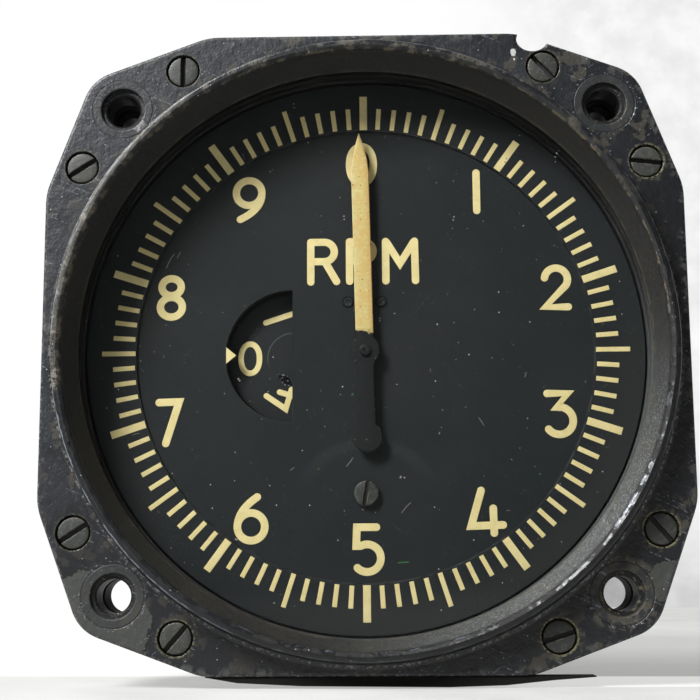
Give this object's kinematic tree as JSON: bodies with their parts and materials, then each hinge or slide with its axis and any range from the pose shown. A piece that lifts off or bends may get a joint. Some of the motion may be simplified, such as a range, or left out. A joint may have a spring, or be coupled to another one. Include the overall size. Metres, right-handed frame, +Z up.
{
  "type": "aircraft tachometer",
  "caption": "Electric aircraft tachometer with a square flange, a glazed round dial, a pointer that laps a thousands disc, and a rear three-pin receptacle.",
  "frame": {"origin": "middle of the bounding box on the surface that the flange's straight lower edge stands on", "axes": "+Z up, +Y from the dial to the receptacle along the pointer's axis, +X to the right of someone reading the dial"},
  "size_m": [0.0826, 0.106, 0.0826],
  "materials": {
    "bezel_enamel": "black enamel, worn to olive brown and bare metal on edges",
    "case_paint": "matt black paint",
    "black_steel": "blacked, worn",
    "window_glass": "clear and flat",
    "seal_rubber": "matt",
    "dial_paint": "matt charcoal",
    "disc_paint": "matt charcoal",
    "lume_paint": "aged cream luminous paint on a black ground",
    "brass": "satin",
    "steel": "turned",
    "spring_bronze": "bright strip",
    "aluminium": "satin",
    "magnet_alloy": "ground",
    "laminations": "oiled",
    "copper_wire": "varnished winding",
    "insulator": "moulded, dark brown",
    "silvered_contact": "silver plated"
  },
  "bodies": {
    "frame": {"front_bezel": "bezel_enamel", "case": "case_paint", "bezel_screw_1": "black_steel", "bezel_screw_2": "black_steel", "bezel_screw_3": "black_steel", "bezel_screw_4": "black_steel", "bezel_screw_5": "black_steel", "bezel_screw_6": "black_steel", "bezel_screw_7": "black_steel", "bezel_screw_8": "black_steel", "dial_screw": "black_steel", "receptacle_screw_1": "black_steel", "receptacle_screw_2": "black_steel", "receptacle_screw_3": "black_steel", "receptacle_screw_4": "black_steel", "cover_glass": "window_glass", "glass_seal": "seal_rubber", "flange_gasket": "seal_rubber", "receptacle_gasket": "seal_rubber", "dial_plate": "dial_paint", "front_plate": "brass", "pointer_bush": "brass", "arbor_front_bush": "brass", "centre_bridge": "brass", "middle_plate": "brass", "staff_bush": "brass", "arbor_rear_bush": "brass", "movement_screw_1": "steel", "movement_screw_2": "steel", "movement_screw_3": "steel", "motor_bolt_1": "steel", "motor_bolt_2": "steel", "motor_bolt_3": "steel", "motor_bearing_1": "steel", "motor_bearing_2": "steel", "hairspring": "spring_bronze", "motor_housing": "aluminium", "front_bell": "aluminium", "rear_bell": "aluminium", "receptacle_shell": "aluminium", "stator_core": "laminations", "stator_winding": "copper_wire", "receptacle_insert": "insulator", "contact_pin_1": "silvered_contact", "contact_pin_2": "silvered_contact", "contact_pin_3": "silvered_contact"},
    "pointer_group": {"pointer": "lume_paint", "pointer_arbor": "steel"},
    "thousands_group": {"thousands_disc": "disc_paint", "transfer_arbor": "steel", "pointer_wheel": "brass", "transfer_wheel": "brass"},
    "staff_group": {"drag_staff": "steel", "staff_wheel": "brass", "hairspring_collet": "brass", "drag_disc": "aluminium"},
    "rotor_group": {"rotor_shaft": "steel", "rotor": "magnet_alloy", "keeper_plate": "steel", "magnet_carrier": "magnet_alloy"}
  },
  "joints": [
    {"name": "thousands_spin", "type": "hinge", "parent": "frame", "child": "thousands_group", "pos_m": [-0.0096, -0.042, 0.0409], "axis": [0, 1, 0], "range_deg": [-324, 0]},
    {"name": "pointer_spin", "type": "hinge", "parent": "frame", "child": "pointer_group", "pos_m": [0, -0.045, 0.0413], "axis": [0, 1, 0], "range_deg": [0, 1620]},
    {"name": "staff_spin", "type": "hinge", "parent": "frame", "child": "staff_group", "pos_m": [0, -0.03, 0.0413], "axis": [0, 1, 0], "range_deg": [0, 324]},
    {"name": "rotor_spin", "type": "hinge", "parent": "frame", "child": "rotor_group", "pos_m": [0, 0.005, 0.0413], "axis": [0, 1, 0], "continuous": true}
  ],
  "couplings": [
    {"joint": "pointer_spin", "follows": "thousands_spin", "ratio": -5},
    {"joint": "staff_spin", "follows": "thousands_spin", "ratio": -1}
  ]
}
